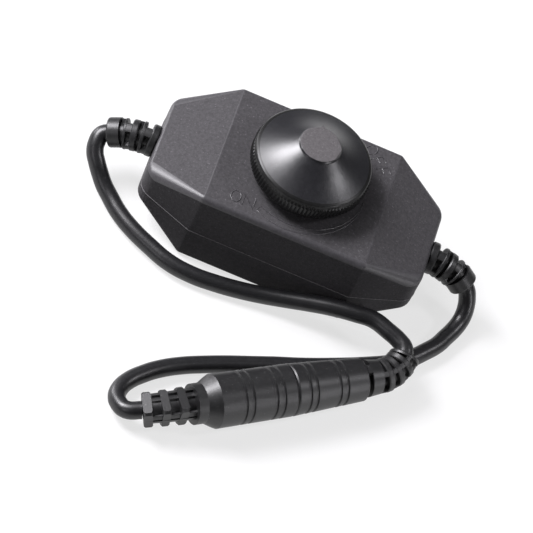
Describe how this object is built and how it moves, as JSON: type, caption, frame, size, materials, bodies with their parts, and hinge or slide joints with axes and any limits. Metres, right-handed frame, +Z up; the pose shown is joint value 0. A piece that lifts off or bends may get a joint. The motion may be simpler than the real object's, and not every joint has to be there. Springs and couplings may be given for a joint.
{
  "type": "rotary cord dimmer",
  "caption": "In-line rotary cord dimmer: black faceted housing with a ribbed dial knob, strain reliefs at both ends and short cords joined by a mated barrel plug and jack.",
  "frame": {"origin": "on the rest face, below the middle of the housing and the axis of the knob", "axes": "+X along the housing towards the input end, +Y to the back, away from the connectors, +Z up along the axis of the knob"},
  "size_m": [0.0865, 0.0764, 0.0307],
  "materials": {
    "housing": "satin moulded ABS",
    "knob": "satin moulded ABS",
    "strain_relief": "smooth flexible PVC",
    "cord": "smooth flexible PVC",
    "connector": "satin overmoulded PVC",
    "steel": "zinc plated",
    "nickel": "nickel plated",
    "brass": "drawn brass",
    "board": "glass-epoxy board with solder mask",
    "chip": "moulded epoxy",
    "ceramic": "sintered ceramic",
    "can": "sleeved can",
    "wafer": "phenolic wafer",
    "pot_case": "moulded resin",
    "insulator": "moulded nylon",
    "red_wire": "PVC insulation",
    "black_wire": "PVC insulation"
  },
  "bodies": {
    "housing": {"top_cover": "housing", "bottom_cover": "housing", "cover_screws": "steel", "output_strain_relief": "strain_relief", "input_strain_relief": "strain_relief", "pot_track": "wafer", "pot_housing": "pot_case", "pot_bushing": "nickel", "pot_terminals": "nickel", "pot_washer": "steel", "pot_nut": "nickel", "circuit_board": "board", "mosfet": "chip", "timer_chip": "chip", "filter_capacitor": "can", "flyback_diode": "chip", "chip_resistors": "chip", "chip_capacitors": "ceramic", "output_positive_lead": "red_wire", "output_negative_lead": "black_wire", "input_positive_lead": "red_wire", "input_negative_lead": "black_wire", "output_cord": "cord", "input_cord": "cord", "jack_body": "connector", "jack_contact": "brass", "jack_insulator": "insulator", "jack_pin": "brass", "plug_body": "connector", "plug_barrel": "nickel", "plug_insulator": "chip", "plug_contact": "brass"},
    "dial": {"knob": "knob", "pot_shaft": "nickel", "pot_wiper": "brass"}
  },
  "joints": [
    {"name": "dial_turn", "type": "hinge", "parent": "housing", "child": "dial", "pos_m": [0, 0, 0.022], "axis": [0, 0, 1], "range_deg": [-150, 150]}
  ]
}
